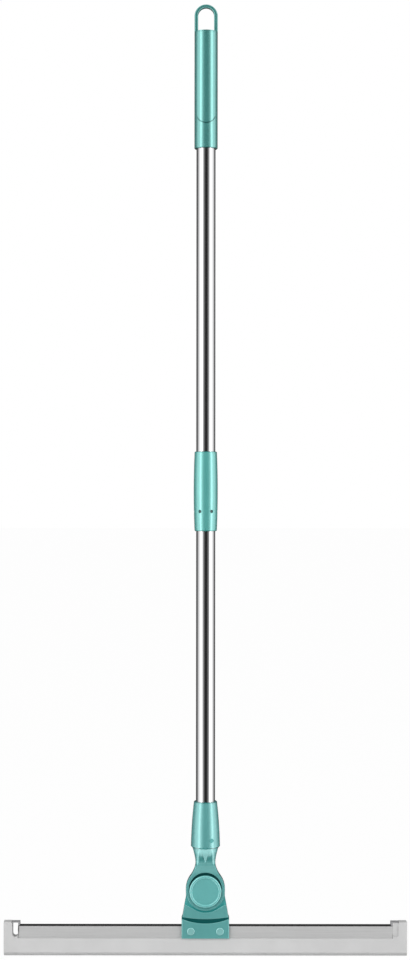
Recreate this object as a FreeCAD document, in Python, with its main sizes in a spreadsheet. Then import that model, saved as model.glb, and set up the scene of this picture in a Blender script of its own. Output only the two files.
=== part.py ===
import FreeCAD, Part
import math
import os

import Sketcher

# Window cleaning squeegee on a two-piece screw-together pole.
# Units are millimetres. +Z runs up the pole, +X along the blade, -Y is the front.
# The origin is on the blade's wiping edge, under the middle of the pole.

SIZES = {
    # pole
    "tube_radius": 11.0,
    "tube_wall": 0.8,
    "lower_tube_bottom": 130.0,
    "lower_tube_top": 532.5,
    "upper_tube_top": 1056.0,
    "press_clearance": 0.05,
    "running_clearance": 0.06,
    "free_clearance": 0.3,
    # grip and hanging loop
    "grip_bottom": 927.2,
    "grip_wall": 2.3,
    "groove_depth": 0.8,
    "groove_width": 1.1,
    "groove_half_width": 10.6,
    "groove_low": 955.6,
    "groove_ends": 963.5,
    "spigot_length": 16.0,
    "loop_shoulder": 4.3,
    "loop_base": 1.5,
    "loop_height": 32.7,
    "loop_leg": 4.2,
    "loop_crown": 3.6,
    "loop_depth": 8.0,
    # coupler
    "coupler_bottom": 487.9,
    "coupler_top": 579.3,
    "rim_chamfer": 0.8,
    "coupler_end_wall": 1.8,
    "coupler_belly_wall": 2.75,
    "coupler_pin_height": 510.6,
    "pin_radius": 1.9,
    "insert_length": 34.5,
    "insert_floor": 7.0,
    "stud_radius": 7.5,
    "stud_length": 26.0,
    "seal_thickness": 2.0,
    "flange_thickness": 2.5,
    "plug_length": 28.0,
    "plug_pin_rise": 14.0,
    "coupler_pin_inset": 1.2,
    "coupler_pin_stand": 1.45,
    # socket on the neck
    "pivot_height": 75.0,
    "socket_bottom": 124.5,
    "socket_foot_wall": 4.15,
    "socket_low_wall": 5.65,
    "socket_mid_wall": 4.55,
    "socket_top_wall": 2.25,
    "socket_top": 177.4,
    "socket_chamfer": 1.5,
    "socket_rim": 0.6,
    "socket_pin_height": 134.2,
    "socket_pin_x": 7.0,
    "socket_pin_radius": 2.4,
    # swivel joint
    "neck_half_depth": 9.0,
    "neck_waist": 11.4,
    "neck_waist_height": 107.3,
    "neck_foot_height": 101.0,
    "neck_foot_half_width": 12.3,
    "neck_swell_height": 116.0,
    "neck_swell_half_width": 12.5,
    "neck_swell_half_depth": 10.6,
    "plate_top_half_width": 11.5,
    "plate_top_height": 105.0,
    "shoulder_x": 17.6,
    "shoulder_height": 92.3,
    "shoulder_round_x": 20.3,
    "shoulder_round_height": 87.5,
    "shoulder_hollow_x": 14.2,
    "shoulder_hollow_height": 97.6,
    "edge_round": 1.0,
    "facet_low_height": 108.4,
    "facet_low_half_width": 0.6,
    "facet_high_half_width": 4.8,
    "facet_stand": 0.1,
    "layer_gap": 0.6,
    "boss_radius": 22.4,
    "tongue_back": 8.0,
    "rim_radius": 24.3,
    "rim_half_width": 14.3,
    "rim_shoulder_x": 23.8,
    "rim_shoulder_drop": 14.6,
    "neck_back_radius": 27.4,
    "button_radius": 18.5,
    "button_stand": 3.0,
    "button_wall": 1.4,
    "button_skirt": 4.1,
    "dish_radius": 15.0,
    "dish_depth": 1.2,
    "pocket_depth": 5.0,
    "pocket_clearance": 0.45,
    "pocket_relief": 2.7,
    "stem_radius": 6.2,
    "stem_key_width": 2.4,
    "stem_key_height": 0.9,
    "hub_radius": 11.0,
    "hub_end": 5.8,
    "recess_radius": 19.0,
    "recess_floor": 4.5,
    "clip_bite": 0.8,
    "clip_stand": 2.2,
    "clip_thickness": 0.8,
    "clip_opening": 6.0,
    "tooth_inner": 14.4,
    "tooth_outer": 16.5,
    "tooth_height": 1.0,
    "tooth_width": 1.6,
    "tooth_clearance": 0.3,
    "tooth_count": 12.0,
    "lock_ring_thickness": 1.6,
    "washer_outer": 18.0,
    "washer_thickness": 0.5,
    "spring_radius": 9.0,
    "spring_wire": 0.45,
    "spring_turns": 2.0,
    "cap_depth": 5.2,
    "cap_wall": 1.2,
    "cap_radius": 20.8,
    "cap_lip": 1.4,
    "button_screw_radius": 1.5,
    "button_screw_head": 3.0,
    "button_screw_head_height": 1.2,
    "button_screw_length": 11.5,
    # head bracket and clamp
    "foot_half_width": 27.3,
    "skirt_half_width": 26.3,
    "skirt_bottom": 45.5,
    "skirt_bottom_middle": 43.3,
    "skirt_flank_x": 25.0,
    "skirt_flank_height": 53.0,
    "skirt_top": 67.0,
    "clamp_wall": 3.45,
    "bump_radius": 4.4,
    "bump_height": 1.0,
    "plate_top": 43.5,
    "plate_top_middle": 38.1,
    "clamp_screw_x": 16.7,
    "clamp_screw_z": 29.0,
    "screw_radius": 2.0,
    "screw_head_radius": 3.6,
    "screw_head_height": 2.2,
    # channel and rubber
    "channel_length": 430.0,
    "channel_bottom": 20.5,
    "channel_top": 35.0,
    "channel_half_depth": 4.5,
    "channel_wall": 1.2,
    "channel_slot": 3.2,
    "channel_web": 32.2,
    "blade_length": 463.0,
    "blade_half_depth": 6.0,
    "edge_half_depth": 1.5,
    "bevel_height": 4.4,
    "bead_top": 32.0,
    "end_block_width": 10.0,
    "end_block_top": 39.2,
    "notch_floor": 22.1,
    "clip_plate_length": 9.2,
    "clip_plate_thickness": 1.0,
    "clip_plate_seat": 0.8,
    "notch_depth": 1.6,
}

UP = FreeCAD.Vector(0, 0, 1)
ARC_SHARE = math.sqrt(0.5)

document = FreeCAD.newDocument("squeegee")
sheet = document.addObject("Spreadsheet::Sheet", "Sizes")
for row, (alias, number) in enumerate(SIZES.items(), start=1):
    sheet.set(f"A{row}", str(number))
    sheet.setAlias(f"A{row}", alias)
document.recompute()


class Size:
    """A length that carries its value and the sheet expression that gives it."""

    def __init__(self, value, text):
        self.value = value
        self.text = text

    def __add__(self, other):
        other = as_size(other)
        return Size(self.value + other.value, f"({self.text} + {other.text})")

    def __sub__(self, other):
        other = as_size(other)
        return Size(self.value - other.value, f"({self.text} - {other.text})")

    def __mul__(self, other):
        other = as_size(other)
        return Size(self.value * other.value, f"({self.text} * {other.text})")

    def __truediv__(self, other):
        other = as_size(other)
        return Size(self.value / other.value, f"({self.text} / {other.text})")

    def __neg__(self):
        return Size(-self.value, f"(0 - {self.text})")


def as_size(number):
    """Return a Size for a Size or a plain number."""
    if isinstance(number, Size):
        return number
    return Size(float(number), repr(float(number)))


def size(alias):
    """Return the sheet cell with this alias as a Size."""
    return Size(float(sheet.get(alias)), f"Sizes.{alias}")


def leg(long_side, short_side):
    """Return the other leg of a right triangle: how far out a circle is at a height."""
    long_side = as_size(long_side)
    short_side = as_size(short_side)
    value = math.sqrt(long_side.value ** 2 - short_side.value ** 2)
    return Size(value, f"sqrt({long_side.text} ^ 2 - {short_side.text} ^ 2)")


def bind(item, name, length):
    """Bind one property of a document object to a Size."""
    item.setExpression(name, as_size(length).text)


def make_body(label, height=0.0):
    """Start the PartDesign body of one sub-part, lifted to a height."""
    body = document.addObject("PartDesign::Body", label)
    body.Label = label
    bind(body, ".Placement.Base.z", height)
    return body


def make_sketch(body, plane, offset=0.0):
    """Attach an empty sketch to one of the body's own origin planes."""
    sketch = body.newObject("Sketcher::SketchObject", f"{body.Label}_sketch")
    support = [item for item in body.Origin.OriginFeatures if item.Role == plane]
    sketch.AttachmentSupport = [(support[0], "")]
    sketch.MapMode = "FlatFace"
    bind(sketch, ".AttachmentOffset.Base.z", offset)
    return sketch


def fix_point(sketch, edge, end, point):
    """Hold one end of a sketch edge at a point given by two Sizes."""
    for kind, length in zip(("DistanceX", "DistanceY"), point):
        length = as_size(length)
        index = sketch.addConstraint(Sketcher.Constraint(kind, -1, 1, edge, end, length.value))
        sketch.setExpression(f"Constraints[{index}]", length.text)


def flat(point):
    """Return a sketch point as a vector."""
    return FreeCAD.Vector(as_size(point[0]).value, as_size(point[1]).value, 0)


def draw_arc(sketch, start, through, end):
    """Add an arc through three points and say which of its ends is which."""
    wanted = Part.Arc(flat(start), flat(through), flat(end)).toShape().Curve
    centre = wanted.Center
    first = math.atan2(flat(start).y - centre.y, flat(start).x - centre.x)
    last = math.atan2(flat(end).y - centre.y, flat(end).x - centre.x)
    circle = Part.Circle(FreeCAD.Vector(centre.x, centre.y, 0), UP, wanted.Radius)
    if wanted.Axis.z > 0:
        return sketch.addGeometry(Part.ArcOfCircle(circle, first, last)), 1, 2
    return sketch.addGeometry(Part.ArcOfCircle(circle, last, first)), 2, 1


def draw_loop(sketch, corners, arcs=None):
    """Draw a closed outline; arcs maps an edge's number to a point that its arc passes."""
    arcs = arcs or {}
    edges = []
    for number, corner in enumerate(corners):
        following = corners[(number + 1) % len(corners)]
        if number in arcs:
            edges.append(draw_arc(sketch, corner, arcs[number], following))
        else:
            line = Part.LineSegment(flat(corner), flat(following))
            edges.append((sketch.addGeometry(line), 1, 2))
    for number, (edge, _, end) in enumerate(edges):
        after, start, _ = edges[(number + 1) % len(edges)]
        sketch.addConstraint(Sketcher.Constraint("Coincident", edge, end, after, start))
    for (edge, start, _), corner in zip(edges, corners):
        fix_point(sketch, edge, start, corner)
    for number, through in arcs.items():
        marker = sketch.addGeometry(Part.Point(flat(through)), True)
        fix_point(sketch, marker, 1, through)
        on_arc = Sketcher.Constraint("PointOnObject", marker, 1, edges[number][0])
        sketch.addConstraint(on_arc)


def draw_circle(sketch, radius, centre=(0.0, 0.0)):
    """Draw a full circle about a point given by two Sizes."""
    radius = as_size(radius)
    edge = sketch.addGeometry(Part.Circle(flat(centre), UP, radius.value))
    index = sketch.addConstraint(Sketcher.Constraint("Radius", edge, radius.value))
    sketch.setExpression(f"Constraints[{index}]", radius.text)
    fix_point(sketch, edge, 3, centre)


def rectangle(left, low, right, high):
    """Return the four corners of an upright rectangle."""
    return [(left, low), (right, low), (right, high), (left, high)]


def check_solid(item):
    """Return the object if its shape is sound, and stop otherwise."""
    if item.Shape.isNull() or not item.Shape.isValid():
        raise RuntimeError(f"{item.Label} has no valid solid")
    return item


def feature(body, kind, sketch, **settings):
    """Add a PartDesign feature on a sketch and check that it changed the solid."""
    before = body.Shape.Volume if body.Tip else 0.0
    item = body.newObject(f"PartDesign::{kind}", f"{body.Label}_{kind.lower()}")
    item.Profile = sketch
    for name, value in settings.items():
        if isinstance(value, Size):
            item.setExpression(name, value.text)
        else:
            setattr(item, name, value)
    document.recompute()
    changed = body.Shape.Volume - before
    cuts = kind in ("Pocket", "Groove")
    if (cuts and changed > -1e-6) or (not cuts and changed < 1e-6):
        raise RuntimeError(f"{item.Label} of {body.Label} changed the volume by {changed}")
    return check_solid(item)


def pad(body, sketch, length, **settings):
    """Pad a sketch by a length along its normal, or both ways with SideType."""
    return feature(body, "Pad", sketch, Length=as_size(length), **settings)


def pocket(body, sketch, length, **settings):
    """Cut a sketch into the body by a length against its normal."""
    return feature(body, "Pocket", sketch, Length=as_size(length), **settings)


def turn(body, sketch, kind="Revolution", axis="V_Axis"):
    """Revolve a sketch, or cut it, a full turn about one of its axes."""
    return feature(body, kind, sketch, ReferenceAxis=(sketch, [axis]), Angle=360.0)


def around(body, original, axis, count):
    """Repeat a feature evenly around one of the body's origin axes."""
    pattern = body.newObject("PartDesign::PolarPattern", f"{body.Label}_pattern")
    pattern.Originals = [original]
    support = [item for item in body.Origin.OriginFeatures if item.Role == axis]
    pattern.Axis = (support[0], [""])
    pattern.Angle = 360.0
    pattern.Occurrences = count
    body.Tip = pattern
    document.recompute()
    return check_solid(pattern)


def round_edges(body, radius, wanted, kind="Fillet"):
    """Round, or chamfer, each edge whose middle point passes a test."""
    names = []
    for number, edge in enumerate(body.Tip.Shape.Edges, start=1):
        middle = edge.valueAt((edge.FirstParameter + edge.LastParameter) / 2)
        if wanted(edge, middle):
            names.append(f"Edge{number}")
    if not names:
        raise RuntimeError(f"{body.Label} has no edge to round")
    item = body.newObject(f"PartDesign::{kind}", f"{body.Label}_{kind.lower()}")
    item.Base = (body.Tip if body.Tip != item else item.BaseFeature, names)
    bind(item, "Radius" if kind == "Fillet" else "Size", radius)
    document.recompute()
    return check_solid(item)


def near(number, wanted):
    """Say whether a number is a Size's value, to a hundredth."""
    return abs(number - as_size(wanted).value) < 0.01


def in_plane(depth):
    """Return a test that picks the edges lying at one depth, front to back."""
    def test(edge, middle):
        ends = [vertex.Point.y for vertex in edge.Vertexes] + [middle.y]
        return all(near(place, depth) for place in ends)
    return test


# ---------------------------------------------------------------- shared places
tube_inner = size("tube_radius") - size("tube_wall")
plug_radius = tube_inner - size("press_clearance")
sleeve_bore = size("tube_radius") + size("press_clearance")
shoulder_radius = size("tube_radius") - size("press_clearance") * 2
grip_radius = sleeve_bore + size("grip_wall")
coupler_end_radius = sleeve_bore + size("coupler_end_wall")
coupler_belly_radius = sleeve_bore + size("coupler_belly_wall")
coupler_pin_inner = tube_inner - size("coupler_pin_inset")
coupler_pin_outer = sleeve_bore + size("coupler_pin_stand")
socket_foot_radius = sleeve_bore + size("socket_foot_wall")
socket_low_radius = sleeve_bore + size("socket_low_wall")
socket_mid_radius = sleeve_bore + size("socket_mid_wall")
socket_top_radius = sleeve_bore + size("socket_top_wall")
clip_inner = size("hub_radius") - size("clip_bite")
clip_outer = size("hub_radius") + size("clip_stand")
hole_radius = size("pin_radius") + size("press_clearance")
socket_hole = size("socket_pin_radius") + size("press_clearance")
flange_bottom = size("lower_tube_top") + size("seal_thickness")
upper_tube_bottom = flange_bottom + size("flange_thickness")
loop_base_bottom = size("upper_tube_top") + size("loop_shoulder")
grip_top = loop_base_bottom - size("press_clearance")
coupler_length = size("coupler_top") - size("coupler_bottom")
half_gap = size("layer_gap") / 2
stem_bore = size("stem_radius") + size("running_clearance")
button_face = -(size("neck_half_depth") + size("button_stand"))
button_floor = button_face + size("dish_depth") + size("button_wall")
pocket_floor = size("pocket_depth") - size("neck_half_depth")
ring_front = size("tongue_back") - size("lock_ring_thickness")
jaw_inner = size("channel_half_depth") + size("press_clearance")
clamp_hole = size("screw_radius") + size("free_clearance")
jaw_front = jaw_inner + size("clamp_wall")
web_bottom = size("channel_top") + size("press_clearance") * 4
channel_end = size("channel_length") / 2
block_inner = size("blade_length") / 2 - size("end_block_width")
clip_plate_outer = block_inner + size("clip_plate_seat")
clip_plate_bottom = size("end_block_top") - size("clip_plate_thickness")


def above_pivot(height):
    """Return a height counted from the swivel's axis."""
    return size(height) - size("pivot_height")


def cross_hole(body, radius, spot, depth, offset=0.0, **settings):
    """Drill from the body's middle plane, or from an offset of it, front to back."""
    sketch = make_sketch(body, "XZ_Plane", offset)
    draw_circle(sketch, radius, spot)
    return pocket(body, sketch, depth, **settings)


def side_hole(body, radius, height, depth, offset=0.0):
    """Drill outwards to +X from the body's middle plane or from an offset of it."""
    sketch = make_sketch(body, "YZ_Plane", offset)
    draw_circle(sketch, radius, (0.0, height))
    return pocket(body, sketch, depth, Reversed=True)


# ---------------------------------------------------------------- pole
def build_tube(label, bottom, top):
    """Chromed steel tube standing between two heights."""
    body = make_body(label, bottom)
    sketch = make_sketch(body, "XY_Plane")
    draw_circle(sketch, size("tube_radius"))
    draw_circle(sketch, tube_inner)
    pad(body, sketch, top - bottom)
    return body


def build_lower_tube():
    """Lower tube, pinned in the neck socket and in the coupler."""
    bottom = size("lower_tube_bottom")
    body = build_tube("lower_tube", bottom, size("lower_tube_top"))
    rise = size("coupler_pin_height") - bottom
    hole = side_hole(body, hole_radius, rise, size("tube_radius") * 2)
    around(body, hole, "Z_Axis", 6)
    spot = (size("socket_pin_x"), size("socket_pin_height") - bottom)
    cross_hole(body, socket_hole, spot, size("tube_radius") * 2, Reversed=True)


def build_upper_tube():
    """Upper tube, which carries the grip and the threaded plug."""
    body = build_tube("upper_tube", upper_tube_bottom, size("upper_tube_top"))
    spot = (0.0, size("plug_pin_rise"))
    cross_hole(body, hole_radius, spot, size("tube_radius") * 4, SideType="Symmetric")


def build_coupler_sleeve():
    """Moulded sleeve over the joint of the two tubes, with a slight belly."""
    body = make_body("coupler_sleeve", size("coupler_bottom"))
    profile = make_sketch(body, "XZ_Plane")
    end = coupler_end_radius
    rim = size("rim_chamfer")
    corners = [(sleeve_bore, 0.0), (end - rim, 0.0), (end, rim), (end, coupler_length - rim),
               (end - rim, coupler_length), (sleeve_bore, coupler_length)]
    draw_loop(profile, corners, {2: (coupler_belly_radius, coupler_length / 2)})
    turn(body, profile)
    rise = size("coupler_pin_height") - size("coupler_bottom")
    hole = side_hole(body, hole_radius, rise, coupler_belly_radius * 2)
    around(body, hole, "Z_Axis", 6)


def build_coupler_insert():
    """Threaded bush fixed inside the lower tube's top end."""
    bottom = size("lower_tube_top") - size("insert_length")
    body = make_body("coupler_insert", bottom)
    bore = size("stud_radius") + size("running_clearance")
    profile = make_sketch(body, "XZ_Plane")
    corners = [(0.0, 0.0), (plug_radius, 0.0), (plug_radius, size("insert_length")),
               (bore, size("insert_length")), (bore, size("insert_floor")),
               (0.0, size("insert_floor"))]
    draw_loop(profile, corners)
    turn(body, profile)
    rise = size("coupler_pin_height") - bottom
    hole = side_hole(body, hole_radius, rise, size("tube_radius"), coupler_pin_inner)
    around(body, hole, "Z_Axis", 6)


def build_coupler_pins():
    """Ring of six punch pins through sleeve, tube and insert."""
    body = make_body("coupler_pins", size("coupler_pin_height"))
    sketch = make_sketch(body, "YZ_Plane", coupler_pin_inner)
    draw_circle(sketch, size("pin_radius"))
    length = coupler_pin_outer - coupler_pin_inner
    around(body, pad(body, sketch, length), "Z_Axis", 6)


def build_thread_seal_ring():
    """Rubber ring squeezed between the two tubes when they are screwed together."""
    body = make_body("thread_seal_ring", size("lower_tube_top"))
    sketch = make_sketch(body, "XY_Plane")
    draw_circle(sketch, shoulder_radius)
    draw_circle(sketch, size("stud_radius") + size("free_clearance"))
    pad(body, sketch, size("seal_thickness"))


def build_upper_thread_plug():
    """Plug in the upper tube's bottom end, with the threaded stud under its flange."""
    body = make_body("upper_thread_plug", flange_bottom)
    profile = make_sketch(body, "XZ_Plane")
    lead = size("edge_round")
    top = size("flange_thickness") + size("plug_length")
    corners = [(0.0, -size("stud_length")), (size("stud_radius") - lead, -size("stud_length")),
               (size("stud_radius"), lead - size("stud_length")), (size("stud_radius"), 0.0),
               (shoulder_radius, 0.0), (shoulder_radius, size("flange_thickness")),
               (plug_radius, size("flange_thickness")), (plug_radius, top), (0.0, top)]
    draw_loop(profile, corners)
    turn(body, profile)
    spot = (0.0, size("flange_thickness") + size("plug_pin_rise"))
    cross_hole(body, hole_radius, spot, size("tube_radius") * 4, SideType="Symmetric")


def build_plug_cross_pin():
    """Pin through the upper tube and its plug, flush with the tube."""
    body = make_body("plug_cross_pin", upper_tube_bottom + size("plug_pin_rise"))
    sketch = make_sketch(body, "XZ_Plane")
    draw_circle(sketch, size("pin_radius"))
    pad(body, sketch, leg(shoulder_radius, size("pin_radius")) * 2, SideType="Symmetric")


# ---------------------------------------------------------------- grip and loop
def build_grip_sleeve():
    """Moulded grip with a thin curved groove across the lower part of its front."""
    length = grip_top - size("grip_bottom")
    core = make_body("grip_core", size("grip_bottom"))
    profile = make_sketch(core, "XZ_Plane")
    lead = size("rim_chamfer")
    corners = [(sleeve_bore, 0.0), (grip_radius - lead, 0.0), (grip_radius, lead),
               (grip_radius, length), (sleeve_bore, length)]
    draw_loop(profile, corners)
    turn(core, profile)

    band = make_body("groove_band", size("grip_bottom"))
    outline = make_sketch(band, "XZ_Plane")
    half = size("groove_half_width")
    width = size("groove_width")
    ends = size("groove_ends") - size("grip_bottom")
    low = size("groove_low") - size("grip_bottom")
    corners = [(half, ends), (half, ends + width), (-half, ends + width), (-half, ends)]
    draw_loop(outline, corners, {1: (0.0, low + width / 2), 3: (0.0, low - width / 2)})
    pad(band, outline, grip_radius * 2)

    ring = make_body("groove_ring", size("grip_bottom"))
    section = make_sketch(ring, "XY_Plane")
    draw_circle(section, grip_radius + 1)
    draw_circle(section, grip_radius - size("groove_depth"))
    pad(ring, section, length)

    groove = document.addObject("Part::MultiCommon", "groove_cut")
    groove.Shapes = [band, ring]
    grip = document.addObject("Part::Cut", "grip_sleeve")
    grip.Label = "grip_sleeve"
    grip.Base = core
    grip.Tool = groove
    document.recompute()


def build_hanging_loop():
    """Hanging eye on an end cap whose spigot plugs the upper tube."""
    body = make_body("hanging_loop", size("upper_tube_top"))
    arch = make_sketch(body, "XZ_Plane")
    outer = grip_radius
    inner = outer - size("loop_leg")
    foot = size("loop_shoulder")
    top = foot + size("loop_height")
    spring_line = top - outer
    corners = [(outer, foot), (outer, spring_line), (-outer, spring_line), (-outer, foot),
               (-inner, foot), (-inner, spring_line), (inner, spring_line), (inner, foot)]
    draw_loop(arch, corners, {1: (0.0, top), 5: (0.0, top - size("loop_crown"))})
    pad(body, arch, size("loop_depth"), SideType="Symmetric")
    half = size("loop_depth") / 2
    faces = [in_plane(half), in_plane(-half)]

    def on_arch(edge, middle):
        return not near(middle.z, foot) and any(face(edge, middle) for face in faces)

    round_edges(body, size("loop_leg") * 0.3, on_arch)
    profile = make_sketch(body, "XZ_Plane")
    base_top = foot + size("loop_base")
    corners = [(0.0, -size("spigot_length")), (plug_radius, -size("spigot_length")),
               (plug_radius, 0.0), (shoulder_radius, 0.0), (shoulder_radius, foot),
               (outer, foot), (outer, base_top), (0.0, base_top)]
    draw_loop(profile, corners)
    turn(body, profile)


# ---------------------------------------------------------------- neck and swivel
def rounded_section(body, height, half_width, half_depth, corner):
    """Draw a rounded rectangle across the neck at a height above the pivot."""
    sketch = make_sketch(body, "XY_Plane", height)
    flat_x = half_width - corner
    flat_y = half_depth - corner
    bend = corner * math.sqrt(0.5)
    corners = []
    arcs = {}
    for across, along in ((1, 1), (-1, 1), (-1, -1), (1, -1)):
        first = (half_width * across, flat_y * along)
        last = (flat_x * across, half_depth * along)
        if across * along < 0:
            first, last = last, first
        arcs[len(corners)] = ((flat_x + bend) * across, (flat_y + bend) * along)
        corners += [first, last]
    draw_loop(sketch, corners, arcs)
    return sketch


def loft_through(body, name, sections):
    """Add a loft through a row of sections."""
    loft = body.newObject("PartDesign::AdditiveLoft", name)
    loft.Profile = sections[0]
    loft.Sections = sections[1:]
    document.recompute()


def build_neck_socket():
    """Moulding that holds the pole and carries the round boss of the swivel."""
    body = make_body("neck_socket", size("pivot_height"))
    bottom = above_pivot("socket_bottom")
    top = above_pivot("socket_top")
    seat = above_pivot("lower_tube_bottom")
    belly = (bottom + size("socket_chamfer") + top) / 2
    profile = make_sketch(body, "XZ_Plane")
    corners = [(0.0, bottom), (socket_foot_radius, bottom),
               (socket_low_radius, bottom + size("socket_chamfer")),
               (socket_top_radius, top - size("socket_rim")),
               (socket_top_radius - size("socket_rim"), top),
               (sleeve_bore, top), (sleeve_bore, seat), (0.0, seat)]
    draw_loop(profile, corners, {2: (socket_mid_radius, belly)})
    turn(body, profile)

    deep = size("neck_half_depth")
    foot = socket_foot_radius - size("free_clearance")
    sections = [
        rounded_section(body, above_pivot("neck_foot_height"), size("neck_foot_half_width"),
                        deep, deep / 3),
        rounded_section(body, above_pivot("neck_waist_height"), size("neck_waist"),
                        deep, deep / 2),
        rounded_section(body, above_pivot("neck_swell_height"), size("neck_swell_half_width"),
                        size("neck_swell_half_depth"), deep * 0.75),
        rounded_section(body, bottom, foot, foot, foot * 0.96),
    ]
    facet = [
        rounded_section(body, above_pivot("facet_low_height"), size("facet_low_half_width"),
                        deep + size("facet_stand"), size("facet_low_half_width") / 2),
        rounded_section(body, bottom, size("facet_high_half_width"),
                        foot - size("facet_stand"), size("facet_low_half_width") / 2),
    ]
    loft_through(body, "neck_loft", sections)
    loft_through(body, "neck_facet", facet)

    boss = size("boss_radius")
    top_x = size("plate_top_half_width")
    top_z = above_pivot("plate_top_height")
    shoulder = (size("shoulder_x"), above_pivot("shoulder_height"))
    rounding = (size("shoulder_round_x"), above_pivot("shoulder_round_height"))
    hollow = (size("shoulder_hollow_x"), above_pivot("shoulder_hollow_height"))
    plate = make_sketch(body, "XZ_Plane", half_gap)
    corners = [(top_x, top_z), shoulder, (boss, 0.0), (-boss, 0.0),
               (-shoulder[0], shoulder[1]), (-top_x, top_z)]
    draw_loop(plate, corners, {0: hollow, 1: rounding, 2: (0.0, -boss),
                               3: (-rounding[0], rounding[1]), 4: (-hollow[0], hollow[1])})
    pad(body, plate, deep - half_gap)

    def rim(edge, middle):
        return in_plane(-deep)(edge, middle) and edge.Curve.TypeId == "Part::GeomCircle"

    round_edges(body, size("edge_round"), rim)

    cross_hole(body, size("neck_back_radius"), (0.0, 0.0), deep * 2, half_gap)
    hub = make_sketch(body, "XZ_Plane", half_gap)
    draw_circle(hub, size("hub_radius"))
    pad(body, hub, half_gap + size("hub_end"), Reversed=True)
    pocket_radius = size("button_radius") + size("pocket_clearance")
    for rise in (0.0, size("pocket_relief")):
        cross_hole(body, pocket_radius, (0.0, rise), size("pocket_depth"), deep)
    cross_hole(body, stem_bore, (0.0, 0.0), deep * 2, deep)
    keyway = make_sketch(body, "XZ_Plane", deep)
    half_key = size("stem_key_width") / 2 + size("press_clearance") * 2
    key_top = size("stem_radius") + size("stem_key_height") + size("free_clearance")
    draw_loop(keyway, rectangle(-half_key, 0.0, half_key, key_top))
    pocket(body, keyway, deep * 2)

    groove = make_sketch(body, "YZ_Plane")
    clip_front = size("recess_floor")
    clip_back = clip_front + size("clip_thickness") + size("press_clearance") * 2
    draw_loop(groove, rectangle(clip_front, clip_inner - size("press_clearance"),
                                clip_back, size("hub_radius") + 1))
    turn(body, groove, "Groove", "H_Axis")
    spot = (size("socket_pin_x"), above_pivot("socket_pin_height"))
    cross_hole(body, socket_hole, spot, socket_low_radius * 2, Reversed=True)


def build_socket_pin():
    """Punch pin that holds the lower tube in the neck socket."""
    body = make_body("socket_pin", size("socket_pin_height"))
    inner = leg(tube_inner, size("socket_pin_x")) - 1
    outer = leg(socket_low_radius, size("socket_pin_x")) - size("free_clearance")
    sketch = make_sketch(body, "XZ_Plane", inner)
    draw_circle(sketch, size("socket_pin_radius"), (size("socket_pin_x"), 0.0))
    pad(body, sketch, outer - inner)


def build_lock_button():
    """Round push button whose stem slides in the swivel's hollow hub."""
    body = make_body("lock_button", size("pivot_height"))
    profile = make_sketch(body, "YZ_Plane")
    radius = size("button_radius")
    dish = button_face + size("dish_depth")
    skirt = button_face + size("button_skirt")
    roll = (radius - size("dish_radius")) / 2
    crest = radius - roll
    inner = (dish - size("dish_depth") * ARC_SHARE, crest - roll * ARC_SHARE)
    outer = (button_face + roll * (1 - ARC_SHARE), crest + roll * ARC_SHARE)
    corners = [(dish, 0.0), (dish, size("dish_radius")), (button_face, crest),
               (button_face + roll, radius), (skirt, radius),
               (skirt, radius - size("button_wall")),
               (button_floor, radius - size("button_wall")), (button_floor, size("stem_radius")),
               (ring_front, size("stem_radius")), (ring_front, 0.0)]
    draw_loop(profile, corners, {1: inner, 2: outer})
    turn(body, profile, axis="H_Axis")
    key = make_sketch(body, "XZ_Plane", -pocket_floor)
    half_key = size("stem_key_width") / 2
    draw_loop(key, rectangle(-half_key, 0.0, half_key, size("stem_radius") + size("stem_key_height")))
    pad(body, key, size("hub_end") - pocket_floor, Reversed=True)
    cross_hole(body, size("button_screw_radius") + size("press_clearance"), (0.0, 0.0),
               size("button_screw_length"), -ring_front, Reversed=True)


def build_button_spring():
    """Short coil that pushes the button out of its pocket."""
    body = make_body("button_spring", size("pivot_height"))
    wire = size("spring_wire")
    start = button_floor + wire + size("press_clearance")
    finish = pocket_floor - wire - size("press_clearance")
    section = make_sketch(body, "YZ_Plane")
    draw_circle(section, wire, (start, size("spring_radius")))
    document.recompute()
    coil = body.newObject("PartDesign::AdditiveHelix", "button_spring_coil")
    coil.Profile = section
    coil.ReferenceAxis = (section, ["H_Axis"])
    coil.Mode = "height-turns-angle"
    bind(coil, "Height", finish - start)
    bind(coil, "Turns", size("spring_turns"))
    document.recompute()


def build_lock_ring():
    """Toothed disc on the stem's back end; it stands just clear of the bracket's teeth."""
    body = make_body("lock_ring", size("pivot_height"))
    disc = make_sketch(body, "XZ_Plane", -ring_front)
    draw_circle(disc, size("tooth_outer"))
    draw_circle(disc, size("button_screw_radius") + size("press_clearance"))
    pad(body, disc, size("lock_ring_thickness"), Reversed=True)
    tips = size("recess_floor") + size("tooth_height") + size("tooth_clearance")
    tooth = make_sketch(body, "XZ_Plane", -ring_front)
    half = size("tooth_width") / 2
    reach = leg(size("tooth_outer"), half)
    draw_loop(tooth, rectangle(size("tooth_inner"), -half, reach, half))
    around(body, pad(body, tooth, ring_front - tips), "Y_Axis", int(size("tooth_count").value))


def build_button_screw():
    """Screw that holds the lock ring to the button's stem."""
    body = make_body("button_screw", size("pivot_height"))
    shank = size("button_screw_radius")
    back = size("tongue_back")
    tip = ring_front - size("button_screw_length") + 1
    profile = make_sketch(body, "YZ_Plane")
    corners = [(tip, 0.0), (tip + shank, shank), (back, shank), (back, size("button_screw_head")),
               (back + size("button_screw_head_height"), size("button_screw_head") * 0.7),
               (back + size("button_screw_head_height"), 0.0)]
    draw_loop(profile, corners)
    turn(body, profile, axis="H_Axis")


def build_pivot_washer():
    """Friction washer between the neck's boss and the bracket's tongue."""
    body = make_body("pivot_washer", size("pivot_height"))
    sketch = make_sketch(body, "XZ_Plane")
    draw_circle(sketch, size("washer_outer"))
    draw_circle(sketch, size("hub_radius") + size("free_clearance"))
    pad(body, sketch, size("washer_thickness"), SideType="Symmetric")


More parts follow.
